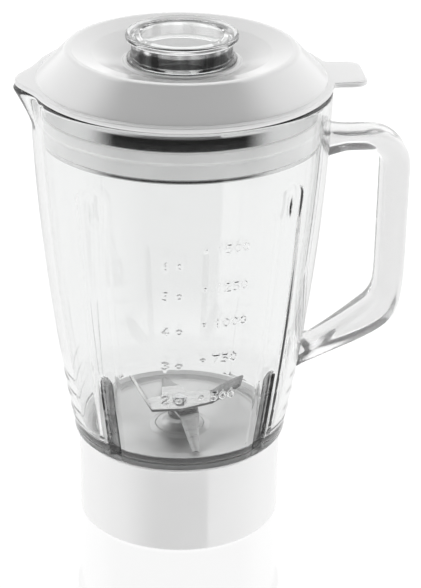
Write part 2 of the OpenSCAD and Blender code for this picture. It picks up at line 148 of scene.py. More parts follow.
def grid_faces(rows, cols, close_rows=True, close_cols=True, start=0):
    """Four-cornered faces of a grid of points, row by row."""
    index = np.arange(rows * cols).reshape(rows, cols) + start
    if close_rows:
        index = np.vstack([index, index[:1]])
    if close_cols:
        index = np.hstack([index, index[:, :1]])
    a, b = index[:-1, :-1], index[:-1, 1:]
    c, d = index[1:, 1:], index[1:, :-1]
    return np.stack([a, b, c, d], -1).reshape(-1, 4)


def rounded(corners, steps=5, closed=True):
    """Outline through corners (r, z, fillet radius), with a guard point each side of a fillet."""
    points = [np.array(c[:2], float) for c in corners]
    radii = [c[2] if len(c) > 2 else 0.0 for c in corners]
    outline = []
    for i, (point, radius) in enumerate(zip(points, radii)):
        if radius == 0 or (not closed and i in (0, len(points) - 1)):
            outline.append(point)
            continue
        back, ahead = points[i - 1] - point, points[(i + 1) % len(points)] - point
        back_len, ahead_len = np.linalg.norm(back), np.linalg.norm(ahead)
        u, v = back / back_len, ahead / ahead_len
        half = math.acos(float(np.clip(u @ v, -1, 1))) / 2
        reach = min(radius / math.tan(half), 0.46 * back_len, 0.46 * ahead_len)
        radius = reach * math.tan(half)
        bisector = (u + v) / np.linalg.norm(u + v)
        centre = point + bisector * radius / math.sin(half)
        first, last = point + u * reach - centre, point + v * reach - centre
        turn = math.atan2(first[0] * last[1] - first[1] * last[0], first @ last)
        guard = 0.12 * reach + 0.04
        outline.append(point + u * (reach + guard))
        for k in range(steps + 1):
            c, s = math.cos(turn * k / steps), math.sin(turn * k / steps)
            outline.append(centre + np.array([c * first[0] - s * first[1], s * first[0] + c * first[1]]))
        outline.append(point + v * (reach + guard))
    return np.array(outline)


def lathe(name, outline, look, cols=192, closed=True, sharp_degrees=34.0):
    """Turns an outline of (r, z) points about the axis."""
    outline = np.asarray(outline, float)
    turn = np.linspace(0, 2 * math.pi, cols, endpoint=False)
    r, z = outline[:, 0:1], outline[:, 1:2]
    points = np.stack([r * np.cos(turn), r * np.sin(turn), z + 0 * turn], -1).reshape(-1, 3)
    return add_mesh(name, points, grid_faces(len(outline), cols, close_rows=closed), look, sharp_degrees)


def smooth_step(x, low, high):
    t = np.clip((x - low) / (high - low), 0, 1)
    return t * t * (3 - 2 * t)


def uneven(stops):
    """Positions along a line: stops are (end, spacing), after a first (start,)."""
    places = [stops[0][0]]
    for end, spacing in stops[1:]:
        n = max(1, int(round(abs(end - places[-1]) / spacing)))
        places.extend(np.linspace(places[-1], end, n + 1)[1:].tolist())
    return np.array(places)


def join_into(piece, others):
    """Adds the meshes of others to piece and removes them."""
    bm = bmesh.new()
    bm.from_mesh(piece.data)
    for other in others:
        bm.from_mesh(other.data)
        bpy.data.objects.remove(other)
    bm.to_mesh(piece.data)
    bm.free()
    return piece


def dress(piece, body, slot, *nodes):
    """Rides a new piece on its body and lets it stand for its CAD nodes."""
    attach(piece, body)
    if nodes:
        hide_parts(*nodes)
    return piece


# ---------- materials ----------


def new_look(name, colour, roughness, **sockets):
    """A Principled material with its constant sockets set."""
    look = bpy.data.materials.new(name)
    look.use_nodes = True
    shader = look.node_tree.nodes["Principled BSDF"]
    shader.inputs["Base Color"].default_value = (*colour, 1.0)
    shader.inputs["Roughness"].default_value = roughness
    for socket, value in sockets.items():
        shader.inputs[socket.replace("_", " ")].default_value = value
    return look


def shader_of(look):
    return look.node_tree.nodes["Principled BSDF"]


def noise(look, scale, detail=3.0, stretch=(1, 1, 1), kind="ShaderNodeTexNoise"):
    """Noise over the piece's own coordinates; scale is in cells per metre."""
    tree = look.node_tree
    place = tree.nodes.new("ShaderNodeTexCoord")
    squeeze = tree.nodes.new("ShaderNodeMapping")
    squeeze.inputs["Scale"].default_value = stretch
    texture = tree.nodes.new(kind)
    texture.inputs["Scale"].default_value = scale
    if "Detail" in texture.inputs:
        texture.inputs["Detail"].default_value = detail
    tree.links.new(place.outputs["Object"], squeeze.inputs["Vector"])
    tree.links.new(squeeze.outputs["Vector"], texture.inputs["Vector"])
    return texture.outputs["Fac"] if "Fac" in texture.outputs else texture.outputs["Distance"]


def turned_lines(look, scale):
    """Fine rings about the drive axis, as a lathe or a spinning tool leaves them."""
    tree = look.node_tree
    place = tree.nodes.new("ShaderNodeTexCoord")
    split = tree.nodes.new("ShaderNodeSeparateXYZ")
    flat = tree.nodes.new("ShaderNodeCombineXYZ")
    length = tree.nodes.new("ShaderNodeVectorMath")
    length.operation = "LENGTH"
    ring = tree.nodes.new("ShaderNodeCombineXYZ")
    texture = tree.nodes.new("ShaderNodeTexNoise")
    texture.inputs["Scale"].default_value = scale
    texture.inputs["Detail"].default_value = 4.0
    link = tree.links.new
    link(place.outputs["Object"], split.inputs["Vector"])
    link(split.outputs["X"], flat.inputs["X"])
    link(split.outputs["Y"], flat.inputs["Y"])
    link(flat.outputs["Vector"], length.inputs[0])
    link(length.outputs["Value"], ring.inputs["X"])
    link(split.outputs["Z"], ring.inputs["Z"])
    link(ring.outputs["Vector"], texture.inputs["Vector"])
    return texture.outputs["Fac"]


def spread(look, source, low, high, target, from_low=0.3, from_high=0.7):
    """Maps a 0 to 1 source to low..high on one socket of the shader."""
    remap = look.node_tree.nodes.new("ShaderNodeMapRange")
    remap.inputs["From Min"].default_value = from_low
    remap.inputs["From Max"].default_value = from_high
    remap.inputs["To Min"].default_value = low
    remap.inputs["To Max"].default_value = high
    look.node_tree.links.new(source, remap.inputs["Value"])
    look.node_tree.links.new(remap.outputs["Result"], shader_of(look).inputs[target])


def tint(look, source, dark, light, from_low=0.35, from_high=0.65):
    """Base colour that drifts between two close shades."""
    ramp = look.node_tree.nodes.new("ShaderNodeValToRGB")
    ramp.color_ramp.elements[0].position = from_low
    ramp.color_ramp.elements[1].position = from_high
    ramp.color_ramp.elements[0].color = (*dark, 1.0)
    ramp.color_ramp.elements[1].color = (*light, 1.0)
    look.node_tree.links.new(source, ramp.inputs["Fac"])
    look.node_tree.links.new(ramp.outputs["Color"], shader_of(look).inputs["Base Color"])


def bump(look, *layers):
    """Stacks bumps: each layer is (source, depth in metres, strength)."""
    previous = None
    for source, depth, strength in layers:
        node = look.node_tree.nodes.new("ShaderNodeBump")
        node.inputs["Distance"].default_value = depth
        node.inputs["Strength"].default_value = strength
        look.node_tree.links.new(source, node.inputs["Height"])
        if previous is not None:
            look.node_tree.links.new(previous, node.inputs["Normal"])
        previous = node.outputs["Normal"]
    look.node_tree.links.new(previous, shader_of(look).inputs["Normal"])


def white_gloss_look(name, shade):
    """Glossy white plastic, faintly uneven in the shine."""
    look = new_look(name, (shade,) * 3, 0.12, IOR=2.1)
    tint(look, noise(look, 18), (shade - 0.005, shade - 0.005, shade - 0.007), (shade + 0.01,) * 3)
    spread(look, noise(look, 90, 5), 0.08, 0.2, "Roughness")
    bump(look, (noise(look, 320, 2), 0.00004, 0.12), (noise(look, 30, 1), 0.0003, 0.05))
    return look


def glass_look(name, waviness):
    """Clear glass with a slow wave in its surface."""
    look = new_look(name, (0.92, 0.925, 0.923), 0.0, IOR=1.5, Transmission_Weight=1.0)
    spread(look, noise(look, 140, 4), 0.0, 0.02, "Roughness", 0.45, 0.8)
    bump(look, (noise(look, 28, 1, (1, 1, 0.4)), 0.0006, waviness), (noise(look, 900, 2), 0.00001, 0.04))
    return look


def slot_glass_painted_dark_look():
    """The ribbed lower ends of the flutes: mottled glass tinted dark, painted shade for the darkness their
    refraction shows.
    """
    look = new_look("jug_glass_ribs_painted_shade", (0.4, 0.4, 0.4), 0.2, IOR=1.5, Transmission_Weight=1.0)
    tint(look, noise(look, 120, 3), (0.03, 0.03, 0.03), (0.2, 0.2, 0.2), 0.3, 0.7)
    spread(look, noise(look, 260, 4), 0.08, 0.3, "Roughness")
    bump(look, (noise(look, 240, 2), 0.0006, 0.6))
    return look


def frosted_glass_look():
    """The ground neck inside the collar."""
    look = new_look("jug_glass_ground", (0.96, 0.96, 0.96), 0.55, IOR=1.5, Transmission_Weight=0.35)
    spread(look, noise(look, 200, 4), 0.45, 0.65, "Roughness")
    bump(look, (noise(look, 700, 3), 0.00004, 0.3))
    return look


def handle_glass_look():
    """The pressed handle, softer to look through than the wall."""
    look = new_look("jug_glass_handle", (0.96, 0.96, 0.96), 0.14, IOR=1.45, Transmission_Weight=0.85)
    spread(look, noise(look, 120, 4), 0.1, 0.18, "Roughness")
    bump(look, (noise(look, 40, 2), 0.0006, 0.15))
    return look


def neck_painted_reflection_look():
    """The cap's thick neck: clear glass tinted dark in vertical streaks, a painted reflection of the dark
    surroundings it shows.
    """
    look = new_look("cap_neck_glass_painted_reflection", (0.3, 0.3, 0.3), 0.08, IOR=1.5, Transmission_Weight=1.0)
    tint(look, noise(look, 130, 3, (1, 1, 0.05)), (0.01, 0.01, 0.01), (0.5, 0.5, 0.5), 0.38, 0.66)
    spread(look, noise(look, 200, 4), 0.03, 0.16, "Roughness")
    bump(look, (noise(look, 160, 2, (1, 1, 0.3)), 0.0004, 0.3))
    return look


def steel_look(name, colour, roughness, lines, anisotropy=0.0):
    """Steel with turned rings, faint smears and hairlines."""
    look = new_look(name, colour, roughness, Metallic=1.0, Anisotropic=anisotropy)
    dark = tuple(0.93 * c for c in colour)
    tint(look, noise(look, 60, 4), dark, colour)
    uneven_by = 0.08 if anisotropy else 0.3
    spread(look, noise(look, 110, 4), roughness * (1 - uneven_by), roughness * (1 + uneven_by), "Roughness")
    smears = 0.04 if anisotropy else 0.1
    bump(look, (turned_lines(look, lines), 0.00003, 0.35), (noise(look, 260, 3), 0.00003, smears))
    if anisotropy:
        tangent = look.node_tree.nodes.new("ShaderNodeTangent")
        tangent.direction_type = "RADIAL"
        tangent.axis = "Z"
        look.node_tree.links.new(tangent.outputs["Tangent"], shader_of(look).inputs["Tangent"])
    return look


def ground_steel_look(name, shade, roughness):
    """Blade steel with grinding lines along the blade."""
    look = new_look(name, (shade, shade, shade), roughness, Metallic=1.0)
    tint(look, noise(look, 80, 4, (1, 6, 1)), (0.9 * shade,) * 3, (1.05 * shade,) * 3)
    spread(look, noise(look, 300, 4, (1, 9, 1)), 0.7 * roughness, 1.4 * roughness, "Roughness")
    bump(look, (noise(look, 500, 4, (0.15, 7, 1)), 0.00003, 0.4))
    return look


def rubber_look(name, colour, roughness):
    """Matt rubber or silicone with fine specks."""
    look = new_look(name, colour, roughness)
    dark = tuple(0.9 * c for c in colour)
    tint(look, noise(look, 45, 4), dark, colour)
    spread(look, noise(look, 160, 4), roughness * 0.8, min(1.0, roughness * 1.2), "Roughness")
    bump(look, (noise(look, 700, 3), 0.00005, 0.25))
    return look


def moulded_look(name, colour, roughness):
    """Fine-grained moulded plastic."""
    look = new_look(name, colour, roughness)
    light = tuple(min(1.0, 1.06 * c) for c in colour)
    tint(look, noise(look, 35, 4), colour, light)
    spread(look, noise(look, 120, 4), roughness * 0.85, roughness * 1.2, "Roughness")
    grain = noise(look, 1400, 2, kind="ShaderNodeTexVoronoi")
    bump(look, (grain, 0.00004, 0.3), (noise(look, 60, 2), 0.0002, 0.08))
    return look


def bronze_look():
    look = new_look("bush_bronze", (0.62, 0.42, 0.22), 0.4, Metallic=1.0)
    tint(look, noise(look, 200, 5), (0.5, 0.33, 0.17), (0.66, 0.46, 0.25))
    spread(look, noise(look, 300, 4), 0.32, 0.55, "Roughness")
    bump(look, (noise(look, 1500, 3), 0.00005, 0.5))
    return look


WHITE = white_gloss_look("white_gloss", 0.96)
# A darker copy of the white gloss for the lid: painted shade that darkens the lid's cone, on the same
# plastic as the collar
LID_WHITE_SHADED = white_gloss_look("white_gloss_lid_painted_shade", 0.84)
GLASS = glass_look("jug_glass", 0.10)
RIBS_PAINTED_DARK = slot_glass_painted_dark_look()
FROST = frosted_glass_look()
HANDLE = handle_glass_look()
NECK_PAINTED_DARK = neck_painted_reflection_look()
CLEAR = glass_look("cap_clear", 0.05)
CHROME = steel_look("plug_chrome", (0.62, 0.62, 0.62), 0.06, 900)
DISH = steel_look("dish_steel", (0.6, 0.6, 0.6), 0.36, 1500, 0.75)
HUB = steel_look("housing_steel", (0.3, 0.3, 0.3), 0.22, 1600)
SCREW = steel_look("screw_steel", (0.62, 0.62, 0.63), 0.32, 1400)
BLADE = ground_steel_look("blade_steel", 0.54, 0.22)
# A darker copy of the blade steel for the upper blade's gentle wing: painted shade
WING_STEEL_SHADED = ground_steel_look("blade_steel_wing_painted_shade", 0.17, 0.26)
# A darker copy of the blade steel for the lower blade's bent wings: painted shade, with a rougher finish
ROUGH_SHADED_BLADE = ground_steel_look("blade_steel_low_rough_painted_shade", 0.32, 0.34)
SILICONE_WITH_GLOW = rubber_look("white_silicone", (0.96, 0.96, 0.955), 0.36)
# Painted light: an emission glow brightens the seal, standing in for light that passes through pale
# silicone and lifting it out of the shade under the lid flange
shader_of(SILICONE_WITH_GLOW).inputs["Emission Color"].default_value = (1, 1, 1, 1)
shader_of(SILICONE_WITH_GLOW).inputs["Emission Strength"].default_value = 0.27
SEAL = rubber_look("seal_rubber", (0.72, 0.72, 0.71), 0.6)
BLACK = rubber_look("black_rubber", (0.025, 0.025, 0.027), 0.5)
GREY = moulded_look("grey_plastic", (0.55, 0.55, 0.56), 0.4)
PALE = moulded_look("pale_plastic", (0.72, 0.72, 0.72), 0.42)
NYLON = moulded_look("dark_nylon", (0.12, 0.12, 0.12), 0.38)
BRONZE = bronze_look()

# ---------- glass jug ----------


def wall_radius(z):
    """Outer radius of the plain glass wall."""
    height = np.clip((z - FOOT_Z) / (RIM_Z - FOOT_Z), 0, 1)
    return RIM_R - (RIM_R - FOOT_R) * (1 - height) ** BULGE


def angle_from(azimuth, centre):
    """Signed angle in degrees from centre to each azimuth."""
    return (azimuth - centre + 180) % 360 - 180


def mark_height(across, z):
    """How far the raised marks stand out at a place on the front wall; across is in millimetres."""
    nearest = np.full(np.broadcast(across, z).shape, 1e3)
    columns = (
        (RIGHT_MARKS, RIGHT_AZIMUTH, 1, RIGHT_DOT_R),
        (LEFT_MARKS, LEFT_AZIMUTH, -1, LEFT_DOT_R),
    )
    for marks, azimuth, side, dot_r in columns:
        for height, label in marks:
            if abs(z - height) > DIGIT_H:
                continue
            x0 = math.radians(azimuth + 90) * wall_radius(height)
            dot = np.abs(np.hypot(across - x0, z - height) - dot_r)
            nearest = np.minimum(nearest, dot)
            for i, digit in enumerate(label):
                offset = i if side > 0 else i - len(label)
                left = x0 + side * DIGIT_GAP + offset * DIGIT_PITCH
                left += 0 if side > 0 else DIGIT_PITCH - DIGIT_W
                for line in DIGITS[digit]:
                    spots = [(left + u * DIGIT_W, height + (v - 0.5) * DIGIT_H) for u, v in line]
                    for (ax, az), (bx, bz) in zip(spots, spots[1:]):
                        run, rise = bx - ax, bz - az
                        t = ((across - ax) * run + (z - az) * rise) / (run * run + rise * rise)
                        t = np.clip(t, 0, 1)
                        nearest = np.minimum(nearest, np.hypot(across - ax - t * run, z - az - t * rise))
    return MARK_RAISE * (1 - smooth_step(nearest, STROKE * 0.35, STROKE * 1.15))


def jug_columns():
    """Azimuths of the jug's columns, closer together at the flutes, the marks and the spout."""
    near = FLUTE_HALF
    right_back, left_back, left_front, right_front = FLUTE_ANGLES
    right_front -= 360
    return uneven([
        (-106.0,), (right_front - near, 0.3), (right_front + near, 0.5), (-12.0, 2.2), (12.0, 1.5),
        (right_back - near, 2.2), (right_back + near, 0.5), (left_back - near, 2.4),
        (left_back + near, 0.5), (158.0, 1.5), (202.0, 0.9), (left_front - near, 1.5),
        (left_front + near, 0.5), (254.0, 1.5),
    ])[:-1]


def jug_outline():
    """The jug's own section as rows (r, z, side): side 1 is outer wall, -1 inner wall, 0 neither."""
    fine = sorted({h for h, _ in RIGHT_MARKS} | {h for h, _ in LEFT_MARKS})
    stops, edge = [(FOOT_Z,), (89.0, 0.75)], 89.0
    for height in fine:
        low, high = max(edge, height - DIGIT_H * 0.62), height + DIGIT_H * 0.62
        if low > edge + 0.1:
            stops.append((low, 1.6))
        stops.append((high, 0.3))
        edge = high
    stops += [(197.0, 1.8), (208.0, 0.7), (RIM_Z - 3.2, 1.6)]
    outer = [(wall_radius(z), z, 1) for z in uneven(stops)]
    lip = WALL / 2
    top_r = RIM_R - lip
    rim = [(top_r + lip * math.cos(a), RIM_Z - lip + lip * math.sin(a), 1 if a < math.pi / 2 else -1)
           for a in np.linspace(0.12, math.pi - 0.12, 11)]
    inner_stops = [(RIM_Z - 3.2,), (208.0, 2.0), (196.0, 1.2), (62.0, 3.4), (BOWL_Z + 2.6, 1.5)]
    inner = [(wall_radius(z) - WALL, z, -1) for z in uneven(inner_stops)]
    bowl_r = wall_radius(BOWL_Z) - WALL
    bowl = rounded([
        (bowl_r, BOWL_Z + 2.5), (bowl_r - 0.1, BOWL_Z, 2.0),
        (NECK_BORE_R, FOOT_Z, 1.5), (NECK_BORE_R, FOOT_Z - 2),
    ], 5, closed=False)
    bowl = [(r, z, 0) for r, z in bowl[1:-1]]
    neck = rounded([
        (NECK_BORE_R, FOOT_Z - 2), (NECK_BORE_R, NECK_Z, 0.8), (NECK_R, NECK_Z, 0.8),
        (NECK_R, SHOULDER_Z, 0.6), (SHOULDER_R, SHOULDER_Z, 1.0), (FOOT_R - 0.15, FOOT_Z - 0.9, 0.8),
        (FOOT_R, FOOT_Z),
    ], 4, closed=False)[1:-1]
    return outer + rim + inner + bowl + [(r, z, 0) for r, z in neck]


def jug_body():
    """The jug's wall, flutes, steps, spout and raised marks as one closed grid."""
    azimuth = jug_columns()
    rows = []
    spout_offset = angle_from(azimuth, 180.0)
    for r, z, side in jug_outline():
        radius = np.full(len(azimuth), r)
        if side:
            plain = wall_radius(z)
            for centre in FLUTE_ANGLES:
                away = np.radians(angle_from(azimuth, centre)) * plain
                if side > 0:
                    wide = np.hypot(away, max(0, z - (FLUTE_TOP_Z - FLUTE_HALF))) / FLUTE_HALF
                    end = smooth_step(z, FLUTE_TOP_Z - 24, FLUTE_TOP_Z - 8)
                    edge = FLUTE_EDGE + (FLUTE_END_EDGE - FLUTE_EDGE) * end
                    radius = radius - FLUTE_DEPTH * (1 - smooth_step(wide, 1 - edge, 1))
                    press = np.hypot(away / PRESS_HALF, (z - PRESS_Z) / PRESS_HALF_HEIGHT)
                    radius = radius - PRESS_DEPTH * np.clip(1 - press ** 2, 0, 1)
                    slot = np.hypot(away, max(0, z - (SLOT_TOP_Z - SLOT_HALF))) / SLOT_HALF
                    deep = SLOT_DEPTH if centre in FRONT_FLUTES_PAINTED_DARK else BACK_SLOT_DEPTH
                    radius = radius - deep * np.clip(1 - slot ** 2, 0, 1) ** 0.8
                else:
                    low_end = smooth_step(z, BOWL_Z - 4, BOWL_Z + 3)
                    ridge = np.hypot(away, max(0, z - (FLUTE_TOP_Z - 3 - RIDGE_HALF))) / RIDGE_HALF
                    radius = radius - RIDGE_DEPTH * np.clip(1 - ridge ** 2, 0, 1) ** 1.4 * low_end
            if z > SPOUT_LOW_Z:
                across = np.radians(spout_offset) * plain
                shape = 0.5 + 0.5 * np.cos(np.clip(across / SPOUT_HALF, -1, 1) * math.pi)
                rise = ((z - SPOUT_LOW_Z) / (RIM_Z - SPOUT_LOW_Z)) ** 1.15
                radius = radius + SPOUT_REACH * shape ** 1.25 * rise
            if side > 0 and z < STEP_TOP_Z:
                for turn in (0.0, 180.0):
                    off = np.abs(angle_from(azimuth, turn))
                    inside = 1 - smooth_step(off, STEP_FULL_ANGLE, STEP_END_ANGLE)
                    for step in STEP_ZS:
                        bite = smooth_step(z, step - 2.6, step) * (1 - smooth_step(z, step, step + 6.0))
                        radius = radius - STEP_DEPTH * bite * inside
            if side > 0 and MARKS_LOW_Z < z < MARKS_HIGH_Z:
                across = np.radians(angle_from(azimuth, -90.0)) * plain
                radius = radius + mark_height(across, z)
        turn = np.radians(azimuth)
        rows.append(np.stack([radius * np.cos(turn), radius * np.sin(turn), np.full(len(turn), z)], -1))
    points = np.concatenate(rows)
    return points, grid_faces(len(rows), len(azimuth))


def catmull(rows, steps):
    """Smooth rows of numbers through the given rows."""
    rows = np.asarray(rows, float)
    padded = np.vstack([2 * rows[0] - rows[1], rows, 2 * rows[-1] - rows[-2]])
    made = []
    for i in range(len(rows) - 1):
        a, b, c, d = padded[i:i + 4]
        for k in range(steps):
            t = k / steps
            made.append(0.5 * (2 * b + (c - a) * t + (2 * a - 5 * b + 4 * c - d) * t ** 2
                               + (3 * b - a - 3 * c + d) * t ** 3))
    made.append(rows[-1])
    return np.array(made)


def handle_points():
    """The handle as a sweep: each station is the outer edge, the inner edge and the width."""
    top = 211.5
    under = 200.6
    reach = jug_high[0] - 0.9
    inside = reach - 14.3
    out_r, in_r = 20.0, 9.0
    stations = [
        (71.2, top + 1.6, 71.2, under - 2.6, 23.5), (75.0, top + 0.9, 75.0, under - 1.6, 22.6),
        (79.0, top + 0.3, 79.0, under - 0.6, 20.8), (83.0, top, 82.6, under, 20.0),
    ]
    for a in (90, 70, 50, 30, 10):
        c, s = math.cos(math.radians(a)), math.sin(math.radians(a))
        stations.append((reach - out_r + out_r * c, top - out_r + out_r * s,
                         inside - in_r + in_r * c, under - in_r + in_r * s, 20.0))
    stations += [
        (reach, 182, inside, 182, 20), (reach, 162, inside, 162, 20), (reach, 142, inside, 143, 20),
        (reach - 0.6, 126, inside - 0.1, 130, 20), (reach - 2.4, 114.5, inside - 1.2, 122.5, 20),
        (reach - 6.4, 106.0, inside - 4.2, 117.6, 20), (reach - 14.0, 100.0, inside - 8.4, 113.8, 20),
        (90, 94.4, 83.5, 106.4, 20), (76, 88.6, 72.5, 98.0, 20), (68.5, 85.4, 67.4, 95.0, 20.4),
        (63.6, 83.2, 64.0, 95.6, 21.4), (59.6, 81.2, 60.4, 98.2, 22.8),
    ]
    path = catmull(stations, 5)
    ring = np.linspace(0, 2 * math.pi, 48, endpoint=False)
    power = 2 / 4.0
    u = np.sign(np.cos(ring)) * np.abs(np.cos(ring)) ** power
    v = np.sign(np.sin(ring)) * np.abs(np.sin(ring)) ** power
    points = []
    for out_x, out_z, in_x, in_z, width in path:
        middle = np.array([(out_x + in_x) / 2, 0, (out_z + in_z) / 2])
        half = np.array([(out_x - in_x) / 2, 0, (out_z - in_z) / 2])
        side = np.array([0, width / 2, 0])
        points.append(middle + u[:, None] * half + v[:, None] * side)
    rows, cols = len(path), len(ring)
    faces = grid_faces(rows, cols, close_rows=False).tolist()
    faces.append(list(range(cols))[::-1])
    faces.append([(rows - 1) * cols + i for i in range(cols)])
    return np.concatenate(points), faces


def thread_lug_mesh(name, look, r_in, r_out, z, azimuth):
    """One ramped thread lug as a rounded sector."""
    section = rounded([(r_in, -LUG_THICK / 2, 0), (r_out, -LUG_THICK / 2, 0.6),
                       (r_out, LUG_THICK / 2, 0.6), (r_in, LUG_THICK / 2, 0)], 3)
    rows = []
    for a in np.linspace(-LUG_ANGLE / 2, LUG_ANGLE / 2, 20):
        taper = 1 - smooth_step(abs(a), LUG_ANGLE / 2 - 2.5, LUG_ANGLE / 2 + 1.5)
        turn = math.radians(a + azimuth)
        r = r_in + (section[:, 0] - r_in) * taper
        height = z + section[:, 1] * (0.6 + 0.4 * taper) + LUG_LEAD * a / 360
        rows.append(np.stack([r * math.cos(turn), r * math.sin(turn), height], -1))
    count = len(section)
    faces = grid_faces(len(rows), count, close_rows=False).tolist()
    faces.append(list(range(count))[::-1])
    faces.append([(len(rows) - 1) * count + i for i in range(count)])
    return add_mesh(name, np.concatenate(rows), faces, look)


def shade_slots(mesh):
    """Gives the neck its ground glass and the outer faces of the narrow front slots a glass painted dark,
    as painted shade.
    """
    mesh.materials.append(FROST)
    mesh.materials.append(RIBS_PAINTED_DARK)
    for face in mesh.polygons:
        x, y, z = (c / MM for c in face.center)
        if z < FOOT_Z - 1.5:
            face.material_index = len(mesh.materials) - 2
        if not FOOT_Z + 1 < z < SLOT_TOP_Z:
            continue
        r = math.hypot(x, y)
        faces_in = face.normal.x * x + face.normal.y * y < 0
        if faces_in or r < wall_radius(z) - SLOT_DEPTH - FLUTE_DEPTH - 0.3:
            continue
        azimuth = math.degrees(math.atan2(y, x))
        away = min(abs(angle_from(azimuth, centre)) for centre in FRONT_FLUTES_PAINTED_DARK)
        across = math.hypot(math.radians(away) * wall_radius(z), max(0.0, z - (SLOT_TOP_Z - SLOT_HALF)))
        if across < SLOT_HALF * 0.97:
            # Painted shade: dark glass on the outer faces of the front slots
            face.material_index = len(mesh.materials) - 1


def build_jug():
    jug = add_mesh("jug_body", *jug_body(), GLASS, 50)
    handle = add_mesh("jug_handle", *handle_points(), HANDLE, 60)
    lugs = [thread_lug_mesh("jug_lug", GLASS, NECK_R - 0.6, NECK_R + 2.0, JUG_LUG_Z, a)
            for a in LUG_TURNS]
    join_into(handle, lugs)
    union = jug.modifiers.new("handle", "BOOLEAN")
    union.operation = "UNION"
    union.solver = "EXACT"
    union.material_mode = "TRANSFER"
    union.object = handle
    made = bpy.data.meshes.new_from_object(jug.evaluated_get(bpy.context.evaluated_depsgraph_get()))
    jug.modifiers.clear()
    jug.data = made
    bpy.data.objects.remove(handle)
    made.polygons.foreach_set("use_smooth", [True] * len(made.polygons))
    made.set_sharp_from_angle(angle=math.radians(50))
    shade_slots(made)
    return dress(jug, "jug", "jug_glass", "glass_jug")


# ---------- lid ----------


def flange_reach(azimuth):
    """Outer radius of the lid's flange, with its lifting tab and its beak over the spout."""
    turn = math.radians(azimuth)
    c, s = math.cos(turn), abs(math.sin(turn))
    reach = FLANGE_R
    beak = abs(angle_from(azimuth, 180.0))
    reach += (BEAK_REACH - FLANGE_R) * (0.5 + 0.5 * math.cos(math.pi * min(1.0, beak / 19.0))) ** 1.3
    if c > 0.9:
        ring_x, ring_y = TAB_REACH - TAB_CORNER, TAB_HALF - TAB_CORNER
        side = TAB_HALF / max(s, 1e-6)
        end = TAB_REACH / c
        tab = min(side, end)
        if c * tab > ring_x and s * tab > ring_y:
            along = c * ring_x + s * ring_y
            tab = along + math.sqrt(max(0.0, along ** 2 - ring_x ** 2 - ring_y ** 2 + TAB_CORNER ** 2))
        blend = 7.0
        gap = max(0.0, blend - abs(tab - reach)) / blend
        reach = min(max(tab, reach) + gap * gap * blend / 4, TAB_REACH / c)
    return reach


def build_cover():
    azimuth = uneven([
        (-16.0,), (-4.0, 0.35), (4.0, 1.0), (16.0, 0.35), (150.0, 2.0), (210.0, 1.2), (344.0, 2.0),
    ])[:-1]
    reach = np.array([flange_reach(a) for a in azimuth])
    crown = cover_high[2]
    edge = 0.9
    top_z, low_z = FLANGE_TOP, FLANGE_Z
    # Fixed part of the section, from the foot of the cone over the crown and down the cap's hole
    inner = rounded([
        (71.2, top_z), (71.0, top_z + 0.3, 0.2), (56.9, crown - 0.05, 3.2), (54.0, crown - 0.05, 2.0),
        (44.0, crown - 2.2, 8.0), (34.0, crown - 5.6, 6.0), (29.2, 247.5, 1.6), (28.4, 248.6, 0.5),
        (HOLE_R + 0.4, 248.6, 0.5), (HOLE_R, 236.2, 0.6), (HOLE_R + 2.0, 236.2, 0.6),
        (HOLE_R + 2.0, 244.4, 1.5), (34.0, crown - 8.2, 5.0), (44.0, crown - 4.8, 6.0),
        (53.5, crown - 2.9, 3.0), (68.2, top_z - 0.9, 0.8), (64.2, top_z - 0.9, 0.5), (64.0, low_z + 0.2),
    ], 5, closed=False)
    share = np.array([0.15, 0.5, 0.85])
    rows = []
    turn = np.radians(azimuth)

    def ring(radius, z):
        rows.append(np.stack([radius * np.cos(turn), radius * np.sin(turn), np.full(len(turn), z)], -1))

    for r in (64.0, 68.0):
        ring(np.full(len(turn), r), low_z)
    for s in share:
        ring(71.5 + (reach - edge - 71.5) * s, low_z)
    for a in np.linspace(-90, 90, 9):
        lift = (top_z - low_z) / 2 - edge
        z = (top_z + low_z) / 2 + math.copysign(lift, a) * (abs(a) > 1) + edge * math.sin(math.radians(a))
        ring(reach - edge + edge * math.cos(math.radians(a)), z)
    for s in share[::-1]:
        ring(71.5 + (reach - edge - 71.5) * s, top_z)
    for r, z in inner[:-1]:
        ring(np.full(len(turn), r), z)
    faces = grid_faces(len(rows), len(turn))
    # The cover wears the darker white gloss, painted shade
    cover = add_mesh("lid_cover_shell", np.concatenate(rows), faces, LID_WHITE_SHADED, 30)
    return dress(cover, "lid", "white_gloss", "lid_cover")


def build_plug():
    low, high = plug_low[2], plug_high[2]
    outline = rounded([
        (64.0, low, 0.5), (68.1, low, 0.7), (68.1, low + 2.2, 0.3), (66.2, low + 2.2, 0.2),
        (66.2, seal_high[2], 0.2), (67.8, seal_high[2], 0.5), (67.8, high, 0.3), (64.0, high, 0.3),
    ])
    return dress(lathe("lid_plug_ring", outline, CHROME, 256), "lid", "plug_chrome", "lid_plug")


def build_lid_seal():
    low, high = seal_low[2], seal_high[2]
    middle = (low + high) / 2 + 1.0
    outline = rounded([
        (66.3, low, 0.2), (68.4, low, 1.0), (68.45, middle - 0.9, 0.7), (67.6, middle - 0.2, 0.3),
        (67.6, middle + 0.2, 0.3), (68.45, middle + 0.9, 0.7), (68.4, high, 1.0), (66.3, high, 0.2),
    ], 6)
    # The lid seal wears the silicone with its painted glow
    return dress(lathe("lid_seal_ring", outline, SILICONE_WITH_GLOW, 256), "lid", "white_silicone", "lid_seal")


